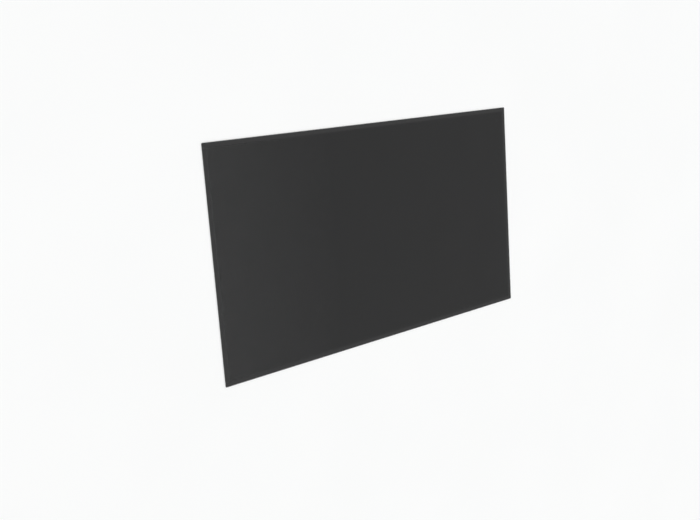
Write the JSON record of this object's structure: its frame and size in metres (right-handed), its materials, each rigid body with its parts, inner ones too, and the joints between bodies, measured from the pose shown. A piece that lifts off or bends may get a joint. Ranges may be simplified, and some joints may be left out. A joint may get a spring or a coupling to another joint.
{
  "type": "monitor privacy filter",
  "caption": "Thin flat rectangular sheet of dark louvre film with slim black mounting tape along its back edges, made to cover a wide screen and darken it when seen from the side.",
  "frame": {"origin": "under the middle of the sheet, on the plane that the tape rests on", "axes": "+X along the width towards the right edge, +Y up the screen towards the top edge, +Z out of the front face"},
  "size_m": [0.509, 0.286, 0.0008],
  "materials": {
    "louvre_film": "satin anti-glare film",
    "mounting_tape": "black acrylic tape"
  },
  "bodies": {
    "root": {"filter_sheet": "louvre_film", "top_tape": "mounting_tape", "bottom_tape": "mounting_tape", "left_tape": "mounting_tape", "right_tape": "mounting_tape"}
  },
  "joints": []
}
